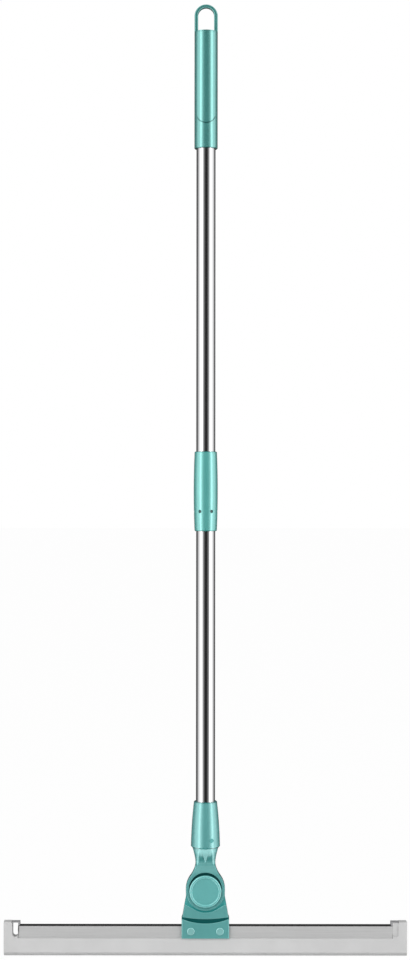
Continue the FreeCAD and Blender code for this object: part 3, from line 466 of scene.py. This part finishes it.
# ------------------------------------------------------------------ modelled rubber
CHANNEL_GAP = 0.3 * MM
CLIP_GAP = 0.2 * MM
WEB_OVERLAP = 0.5 * MM
WEB_STEP = 0.25 * MM
NOTCH_STEPS = 12
BEAD_RISE = 1.4 * MM
BEAD_TOP = 32.0 * MM
BEAD_DEPTH = 6.2 * MM
BEAD_PAST_END = 0.4 * MM
SOFT_SEGMENTS = 3
SOFT_ANGLE = 25.0


def outline_face(mesh, points, depth):
    """Make a face from a front-view outline at one depth."""
    corners = [mesh.verts.new((x, depth, z)) for x, z in points]
    return mesh.faces.new(corners)


def slab(points, half_depth):
    """Return a closed slab: an outline in the front view, pushed front to back."""
    mesh = bmesh.new()
    face = outline_face(mesh, points, -half_depth)
    pushed = bmesh.ops.extrude_face_region(mesh, geom=[face])
    moved = [item for item in pushed["geom"] if isinstance(item, bmesh.types.BMVert)]
    bmesh.ops.translate(mesh, verts=moved, vec=(0.0, 2.0 * half_depth, 0.0))
    bmesh.ops.recalc_face_normals(mesh, faces=mesh.faces)
    return mesh


def to_object(mesh, name):
    """Turn a bmesh into a scene object."""
    data = bpy.data.meshes.new(name)
    mesh.to_mesh(data)
    mesh.free()
    thing = bpy.data.objects.new(name, data)
    bpy.context.scene.collection.objects.link(thing)
    return thing


def half_circle(centre_x, centre_z, radius, steps):
    """Points of the lower half of a circle, from right to left."""
    points = []
    for step in range(steps + 1):
        angle = -math.pi * step / steps
        points.append((centre_x + radius * math.cos(angle), centre_z + radius * math.sin(angle)))
    return points


def notch_frame(sizes):
    """Return the notch's inner side, its outer side and the height of the clip's seat."""
    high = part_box("rubber_blade")[1]
    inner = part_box("blade_channel")[1].x + CHANNEL_GAP
    return inner, high.x - sizes.block_width, high.z - sizes.plate_seat


def rubber_outline(sizes):
    """Front outline of the rubber: blade, end blocks and the notches beside them."""
    low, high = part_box("rubber_blade")
    end = high.x
    inner, block, seat = notch_frame(sizes)
    channel_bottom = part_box("blade_channel")[0].z
    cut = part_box("end_clips")[1].x + CLIP_GAP
    radius = (block - inner) / 2
    floor = sizes.notch_floor + radius
    right = [(end, low.z), (end, high.z), (cut, high.z), (cut, seat), (block, seat)]
    right += half_circle((block + inner) / 2, floor, radius, NOTCH_STEPS)
    right += [(inner, channel_bottom)]
    left = [(-x, z) for x, z in reversed(right)]
    return right + left


def taper_to_edge(mesh, sizes, half_depth):
    """Narrow the slab towards the wiping edge."""
    for vert in mesh.verts:
        share = min(1.0, vert.co.z / sizes.bevel_height)
        width = sizes.edge_width / 2 + (half_depth - sizes.edge_width / 2) * share
        vert.co.y = math.copysign(width, vert.co.y)


def build_rubber(finish, sizes):
    """Model the rubber blade with its end blocks, notches and bead."""
    half_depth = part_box("rubber_blade")[1].y
    mesh = slab(rubber_outline(sizes), half_depth)
    everything = mesh.verts[:] + mesh.edges[:] + mesh.faces[:]
    bmesh.ops.bisect_plane(mesh, geom=everything, plane_co=(0.0, 0.0, sizes.bevel_height),
                           plane_no=(0.0, 0.0, 1.0))
    taper_to_edge(mesh, sizes, half_depth)
    rubber = to_object(mesh, "rubber_body")
    fill_blind_notch(rubber, sizes, half_depth)
    soften = rubber.modifiers.new("soften", "BEVEL")
    soften.width = sizes.softening
    soften.segments = SOFT_SEGMENTS
    soften.limit_method = "ANGLE"
    soften.angle_limit = math.radians(SOFT_ANGLE)
    rubber.data.materials.append(pale_rubber(finish))
    add_bead(rubber)
    bake(rubber)
    return rubber


def fill_blind_notch(rubber, sizes, half_depth):
    """Join a thin web across the notch at the +X end."""
    inner, block, seat = notch_frame(sizes)
    bottom = sizes.notch_floor - WEB_OVERLAP
    near, far = inner - WEB_STEP, block + WEB_OVERLAP
    points = [(near, bottom), (far, bottom), (far, seat), (near, seat)]
    web = to_object(slab(points, half_depth - sizes.notch_depth), "notch_web")
    join = rubber.modifiers.new("web", "BOOLEAN")
    join.operation = "UNION"
    join.solver = "EXACT"
    join.object = web
    bake(rubber)
    bpy.data.objects.remove(web)


def add_bead(rubber):
    """Add the bead that runs inside the channel."""
    low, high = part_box("blade_channel")
    bottom = low.z + BEAD_RISE
    centre = Vector((0.0, 0.0, (bottom + BEAD_TOP) / 2))
    size = Vector((2.0 * high.x + 2.0 * BEAD_PAST_END, BEAD_DEPTH, BEAD_TOP - bottom))
    merged = bmesh.new()
    merged.from_mesh(rubber.data)
    bmesh.ops.create_cube(merged, size=1.0, matrix=Matrix.LocRotScale(centre, None, size))
    merged.to_mesh(rubber.data)
    merged.free()


def bake(thing):
    """Apply an object's modifiers, so that its mesh is plain."""
    depsgraph = bpy.context.evaluated_depsgraph_get()
    data = bpy.data.meshes.new_from_object(thing.evaluated_get(depsgraph))
    thing.modifiers.clear()
    thing.data = data


# ------------------------------------------------------------------ modelled spring
COIL_RESOLUTION = 48
WIRE_RESOLUTION = 16


def coil_tree(material):
    """Nodes that wind a round wire into a coil along Z."""
    tree = bpy.data.node_groups.new("wound_coil", "GeometryNodeTree")
    tree.interface.new_socket("Geometry", in_out="OUTPUT", socket_type="NodeSocketGeometry")
    for name in ("Coil Radius", "Wire Radius", "Length", "Turns"):
        tree.interface.new_socket(name, in_out="INPUT", socket_type="NodeSocketFloat")
    given = add_node(tree, "NodeGroupInput")
    spiral = add_node(tree, "GeometryNodeCurveSpiral", {"Resolution": COIL_RESOLUTION})
    wire = add_node(tree, "GeometryNodeCurvePrimitiveCircle", {"Resolution": WIRE_RESOLUTION})
    sweep = add_node(tree, "GeometryNodeCurveToMesh", {"Fill Caps": True})
    whole = add_node(tree, "GeometryNodeRealizeInstances")
    finish = add_node(tree, "GeometryNodeSetMaterial", {"Material": material})
    output = add_node(tree, "NodeGroupOutput")
    for end in ("Start Radius", "End Radius"):
        tree.links.new(given.outputs["Coil Radius"], spiral.inputs[end])
    tree.links.new(given.outputs["Length"], spiral.inputs["Height"])
    tree.links.new(given.outputs["Turns"], spiral.inputs["Rotations"])
    tree.links.new(given.outputs["Wire Radius"], wire.inputs["Radius"])
    tree.links.new(spiral.outputs["Curve"], sweep.inputs["Curve"])
    tree.links.new(wire.outputs["Curve"], sweep.inputs["Profile Curve"])
    tree.links.new(sweep.outputs["Mesh"], whole.inputs["Geometry"])
    tree.links.new(whole.outputs["Geometry"], finish.inputs["Geometry"])
    tree.links.new(finish.outputs["Geometry"], output.inputs["Geometry"])
    return tree


def build_spring(sizes):
    """Wind the button's spring between the pocket's floor and the button."""
    low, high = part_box("button_spring")
    wire = sizes.spring_wire / 2
    steel = plated_steel("spring_steel")
    spring = to_object(bmesh.new(), "button_coil")
    spring.data.materials.append(steel)
    wind = spring.modifiers.new("wind", "NODES")
    wind.node_group = coil_tree(steel)
    values = {"Coil Radius": (high.x - low.x) / 2 - wire, "Wire Radius": wire,
              "Length": high.y - low.y - 2.0 * wire, "Turns": sizes.spring_turns}
    for item in wind.node_group.interface.items_tree:
        if item.in_out == "INPUT":
            wind[item.identifier] = values[item.name]
    bake(spring)
    quarter = math.radians(-90.0)
    lie = Matrix.Rotation(quarter, 4, "X") @ Matrix.Rotation(quarter, 4, "Z")
    start = Vector(((low.x + high.x) / 2, low.y + wire, (low.z + high.z) / 2))
    spring.data.transform(Matrix.Translation(start) @ lie)
    for face in spring.data.polygons:
        face.use_smooth = True
    return spring


# ------------------------------------------------------------------ stage
# Degrees from the front, and how bright the mirrored surroundings are there.
STRIPS = [(0, 0.012), (10, 0.03), (20, 0.10), (30, 0.30), (40, 0.78), (48, 1.35), (56, 2.2),
          (65, 1.35), (76, 0.98), (90, 0.9), (100, 0.62), (110, 0.34), (124, 0.1), (180, 0.08)]
STRIP_PEAK = 2.4
STRIP_TURN = 4.0
SKY_BAND = {"From Min": 0.62, "From Max": 0.80}
LID_BAND = {"From Min": 0.86, "From Max": 0.97, "To Min": 0.5, "To Max": 0.03}
AMBIENT_BAND = {"From Min": -0.6, "From Max": 0.6, "To Min": 0.95, "To Max": 0.22}
FLOOR_REACH = 20.0
FLOOR_DROP = -0.2 * MM
FLOOR_PAINT = (0.9, 0.9, 0.9, 1.0)
FLOOR_WHITE_SHARE = 0.97
AIM = (0.0, 0.0, 0.4)
LAMP_SIZE = 1.4
CAMERA_PLACE = (-0.86 * MM, -2.2425, 0.5466)
CAMERA_TURN = (90.0, -0.05, 0.0)
CAMERA_LENS = 73.1
SENSOR_WIDTH = 36.0


def strip_pattern(tree):
    """Brightness of the mirrored surroundings, by compass angle from the front."""
    place = add_node(tree, "ShaderNodeTexCoord")
    flat = add_node(tree, "ShaderNodeVectorMath", operation="MULTIPLY")
    flat.inputs[1].default_value = (1.0, 1.0, 0.0)
    unit = add_node(tree, "ShaderNodeVectorMath", operation="NORMALIZE")
    towards = add_node(tree, "ShaderNodeVectorMath", operation="DOT_PRODUCT")
    turn = math.radians(STRIP_TURN)
    towards.inputs[1].default_value = (math.sin(turn), -math.cos(turn), 0.0)
    share = add_node(tree, "ShaderNodeMapRange", {"From Max": math.pi})
    strips = add_node(tree, "ShaderNodeValToRGB")
    set_stops(strips, [(degrees / 180, level / STRIP_PEAK) for degrees, level in STRIPS])
    tree.links.new(place.outputs["Generated"], flat.inputs[0])
    tree.links.new(flat.outputs["Vector"], unit.inputs[0])
    tree.links.new(unit.outputs["Vector"], towards.inputs[0])
    angle = calculate(tree, "ARCCOSINE", towards.outputs["Value"])
    tree.links.new(angle, share.inputs["Value"])
    tree.links.new(share.outputs["Result"], strips.inputs["Fac"])
    steep = add_node(tree, "ShaderNodeSeparateXYZ")
    open_sky = add_node(tree, "ShaderNodeMapRange", SKY_BAND, interpolation_type="SMOOTHSTEP")
    lid = add_node(tree, "ShaderNodeMapRange", LID_BAND, interpolation_type="SMOOTHSTEP")
    blend = add_node(tree, "ShaderNodeMix", data_type="RGBA")
    tree.links.new(place.outputs["Generated"], steep.inputs["Vector"])
    height = calculate(tree, "ABSOLUTE", steep.outputs["Z"])
    tree.links.new(height, open_sky.inputs["Value"])
    tree.links.new(height, lid.inputs["Value"])
    tree.links.new(open_sky.outputs["Result"], blend.inputs["Factor"])
    tree.links.new(strips.outputs["Color"], blend.inputs["A"])
    tree.links.new(lid.outputs["Result"], blend.inputs["B"])
    return blend.outputs["Result"]


def ambient_level(tree):
    """Soft light for matt surfaces: bright in front, weak behind."""
    place = add_node(tree, "ShaderNodeTexCoord")
    parts = add_node(tree, "ShaderNodeSeparateXYZ")
    level = add_node(tree, "ShaderNodeMapRange", AMBIENT_BAND, interpolation_type="SMOOTHSTEP")
    tree.links.new(place.outputs["Generated"], parts.inputs["Vector"])
    tree.links.new(parts.outputs["Y"], level.inputs["Value"])
    return level.outputs["Result"]


def studio_world():
    """White surroundings with dark strips for polished surfaces to mirror."""
    world = bpy.data.worlds.new("studio")
    bpy.context.scene.world = world
    world.use_nodes = True
    tree = world.node_tree
    tree.nodes.clear()
    output = add_node(tree, "ShaderNodeOutputWorld")
    ray = add_node(tree, "ShaderNodeLightPath")
    seen = add_node(tree, "ShaderNodeBackground", {"Color": WHITE, "Strength": 1.0})
    ambient = add_node(tree, "ShaderNodeBackground", {"Color": WHITE})
    glossy = add_node(tree, "ShaderNodeBackground", {"Strength": STRIP_PEAK})
    tree.links.new(strip_pattern(tree), glossy.inputs["Color"])
    tree.links.new(ambient_level(tree), ambient.inputs["Strength"])
    gloss_mix = add_node(tree, "ShaderNodeMixShader")
    tree.links.new(ray.outputs["Is Glossy Ray"], gloss_mix.inputs["Fac"])
    tree.links.new(ambient.outputs["Background"], gloss_mix.inputs[1])
    tree.links.new(glossy.outputs["Background"], gloss_mix.inputs[2])
    final = add_node(tree, "ShaderNodeMixShader")
    tree.links.new(ray.outputs["Is Camera Ray"], final.inputs["Fac"])
    tree.links.new(gloss_mix.outputs["Shader"], final.inputs[1])
    tree.links.new(seen.outputs["Background"], final.inputs[2])
    tree.links.new(final.outputs["Shader"], output.inputs["Surface"])


def floor_material():
    """Pale floor that keeps a faint shadow and stays out of reflections."""
    material = bpy.data.materials.new("pale_floor")
    material.use_nodes = True
    tree = material.node_tree
    tree.nodes.clear()
    output = add_node(tree, "ShaderNodeOutputMaterial")
    ray = add_node(tree, "ShaderNodeLightPath")
    paint = add_node(tree, "ShaderNodeBsdfDiffuse", {"Color": FLOOR_PAINT})
    white = add_node(tree, "ShaderNodeEmission", {"Color": WHITE, "Strength": 1.0})
    gone = add_node(tree, "ShaderNodeBsdfTransparent")
    lit = calculate(tree, "MULTIPLY", ray.outputs["Is Camera Ray"], FLOOR_WHITE_SHARE)
    pale = add_node(tree, "ShaderNodeMixShader")
    tree.links.new(lit, pale.inputs["Fac"])
    tree.links.new(paint.outputs["BSDF"], pale.inputs[1])
    tree.links.new(white.outputs["Emission"], pale.inputs[2])
    hidden = calculate(tree, "MAXIMUM", ray.outputs["Is Glossy Ray"],
                       ray.outputs["Is Transmission Ray"])
    final = add_node(tree, "ShaderNodeMixShader")
    tree.links.new(hidden, final.inputs["Fac"])
    tree.links.new(pale.outputs["Shader"], final.inputs[1])
    tree.links.new(gone.outputs["BSDF"], final.inputs[2])
    tree.links.new(final.outputs["Shader"], output.inputs["Surface"])
    return material


def add_floor():
    """Add the floor under the blade."""
    mesh = bmesh.new()
    reach = FLOOR_REACH
    corners = [(-reach, -reach), (reach, -reach), (reach, reach), (-reach, reach)]
    mesh.faces.new([mesh.verts.new((x, y, FLOOR_DROP)) for x, y in corners])
    floor = to_object(mesh, "floor")
    floor.data.materials.append(floor_material())


def add_lamp(name, place, watts):
    """Add a square area lamp that looks at the lower pole."""
    data = bpy.data.lights.new(name, "AREA")
    data.size = LAMP_SIZE
    data.energy = watts
    lamp = bpy.data.objects.new(name, data)
    lamp.location = place
    lamp.rotation_euler = (Vector(AIM) - Vector(place)).to_track_quat("-Z", "Y").to_euler()
    bpy.context.scene.collection.objects.link(lamp)
    lamp.visible_camera = False
    lamp.visible_glossy = False


def add_camera():
    """Add a level camera in front of the middle of the pole."""
    data = bpy.data.cameras.new("camera")
    data.lens = CAMERA_LENS
    data.sensor_width = SENSOR_WIDTH
    camera = bpy.data.objects.new("camera", data)
    camera.location = CAMERA_PLACE
    camera.rotation_euler = [math.radians(turn) for turn in CAMERA_TURN]
    bpy.context.scene.collection.objects.link(camera)
    bpy.context.scene.camera = camera


# ------------------------------------------------------------------ operators
class SQUEEGEE_OT_stage(bpy.types.Operator):
    """Set up the floor, lamps, surroundings and camera"""

    bl_idname = "squeegee.stage"
    bl_label = "Stage"

    def execute(self, context):
        context.scene.view_settings.view_transform = "Standard"
        studio_world()
        add_floor()
        add_lamp("key", (-1.1, -1.6, 1.7), 22.0)
        add_lamp("fill", (1.5, -1.2, 0.9), 8.0)
        add_camera()
        return {"FINISHED"}


class SQUEEGEE_OT_pole(bpy.types.Operator):
    """Chrome the tubes and plate the small steel fittings"""

    bl_idname = "squeegee.pole"
    bl_label = "Pole"

    def execute(self, context):
        finish = finish_of(context)
        dress(chromed_steel(finish), "lower_tube", "upper_tube")
        dress(plated_steel(), "plug_cross_pin", "button_screw", "pivot_clip", "clamp_screws")
        return {"FINISHED"}


class SQUEEGEE_OT_mouldings(bpy.types.Operator):
    """Give the teal mouldings and the inner fittings their plastics"""

    bl_idname = "squeegee.mouldings"
    bl_label = "Mouldings"

    def execute(self, context):
        finish = finish_of(context)
        # Coupler: painted shade darkens the rims at its ends.
        coupler = glossy_teal("sleeve_teal", scaled(finish.teal_sleeve, 1.15), *COUPLER_GLOSS)
        dress(apply_painted_light(coupler, painted_light_level, "Z", COUPLER_PAINTED_SHADE), "coupler_sleeve")
        # Grip: painted shade darkens the groove below its skin.
        grip = glossy_teal("grip_teal", finish.teal_sleeve, *GRIP_GLOSS)
        dress(apply_painted_light(grip, groove_shade_level, GRIP_SKIN, GRIP_GROOVE_SHADE), "grip_sleeve")
        dress(glossy_teal("loop_teal", scaled(finish.teal_sleeve, 0.8), *LOOP_GLOSS),
              "hanging_loop")
        # Neck: painted highlight and shade bands by height, painted shade in its recesses and along
        # its outlines, and a painted glow.
        neck = glossy_teal("neck_teal", finish.teal, *NECK_GLOSS)
        apply_painted_light(neck, painted_light_level, "Z", SOCKET_PAINTED_LIGHT)
        apply_painted_light(neck, painted_light_level, "Y", NECK_PAINTED_SHADE, NECK_FADE)
        painted_glow(neck, finish.teal, NECK_GLOW, NECK_GLOW_HEIGHTS)
        dress(neck, "neck_socket")
        # Bracket: a darker copy of the teal as painted shade on the skirt, painted shade in the gap
        # under the skirt, and a painted glow.
        bracket = glossy_teal("bracket_teal", scaled(finish.teal, 0.88), *HEAD_GLOSS)
        apply_painted_light(bracket, painted_light_level, "Y", BRACKET_PAINTED_SHADE, BRACKET_FADE)
        painted_glow(bracket, finish.teal, BRACKET_GLOW, BRACKET_GLOW_HEIGHTS)
        dress(bracket, "head_bracket")
        # Clamp plate: a darker copy of the teal as painted shade, painted shade in its recesses,
        # and a painted highlight on its bumps.
        clamp = glossy_teal("clamp_teal", scaled(finish.teal, 0.88), *HEAD_GLOSS)
        dress(apply_painted_light(clamp, painted_light_level, "Y", CLAMP_PAINTED_LIGHT), "clamp_plate")
        dress(glossy_teal("cap_teal", finish.teal, *HEAD_GLOSS), "rear_cap")
        dress(glossy_teal("button_teal", scaled(finish.teal, 1.1), *HEAD_GLOSS), "lock_button")
        dress(glossy_teal("socket_pin_teal", scaled(finish.teal, 1.2), *HEAD_GLOSS),
              "socket_pin")
        dress(glossy_teal("pin_teal", scaled(finish.teal, 0.15), *PIN_GLOSS), "coupler_pins")
        dress(plain_plastic("ivory_fitting", (0.66, 0.66, 0.63), (0.74, 0.74, 0.71)),
              "upper_thread_plug", "coupler_insert", "lock_ring", "pivot_washer")
        dress(plain_plastic("black_seal", (0.02, 0.02, 0.02), (0.035, 0.035, 0.035)),
              "thread_seal_ring")
        return {"FINISHED"}


class SQUEEGEE_OT_blade(bpy.types.Operator):
    """Model the rubber blade and finish its channel"""

    bl_idname = "squeegee.blade"
    bl_label = "Blade"

    def execute(self, context):
        finish = finish_of(context)
        dress(satin_aluminium(finish), "blade_channel")
        dress(plated_steel("dull_tab", 0.3), "end_clips")
        rubber = build_rubber(finish, context.scene.squeegee_sizes)
        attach(rubber, "head")
        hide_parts("rubber_blade")
        return {"FINISHED"}


class SQUEEGEE_OT_spring(bpy.types.Operator):
    """Wind the spring that sits behind the button"""

    bl_idname = "squeegee.spring"
    bl_label = "Spring"

    def execute(self, context):
        spring = build_spring(context.scene.squeegee_sizes)
        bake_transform(spring)
        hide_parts("button_spring")
        return {"FINISHED"}


OPERATORS = (SQUEEGEE_OT_stage, SQUEEGEE_OT_pole, SQUEEGEE_OT_mouldings, SQUEEGEE_OT_blade,
             SQUEEGEE_OT_spring)


class SQUEEGEE_PT_panel(bpy.types.Panel):
    """Buttons and settings of the squeegee"""

    bl_label = "Squeegee"
    bl_space_type = "VIEW_3D"
    bl_region_type = "UI"
    bl_category = "Squeegee"

    def draw(self, context):
        for settings in (context.scene.squeegee_finish, context.scene.squeegee_sizes):
            for name in settings.__annotations__:
                self.layout.prop(settings, name)
        for operator in OPERATORS:
            self.layout.operator(operator.bl_idname)


CLASSES = (SqueegeeFinish, SqueegeeSizes, *OPERATORS, SQUEEGEE_PT_panel)


def register():
    """Register the classes and put their settings on the scene."""
    for item in CLASSES:
        bpy.utils.register_class(item)
    bpy.types.Scene.squeegee_finish = bpy.props.PointerProperty(type=SqueegeeFinish)
    bpy.types.Scene.squeegee_sizes = bpy.props.PointerProperty(type=SqueegeeSizes)


def unregister():
    """Take the settings and classes away again."""
    del bpy.types.Scene.squeegee_sizes
    del bpy.types.Scene.squeegee_finish
    for item in reversed(CLASSES):
        bpy.utils.unregister_class(item)


def main():
    register()
    bpy.ops.squeegee.stage()
    bpy.ops.squeegee.pole()
    bpy.ops.squeegee.mouldings()
    bpy.ops.squeegee.blade()
    bpy.ops.squeegee.spring()


if __name__ == "__main__":
    main()
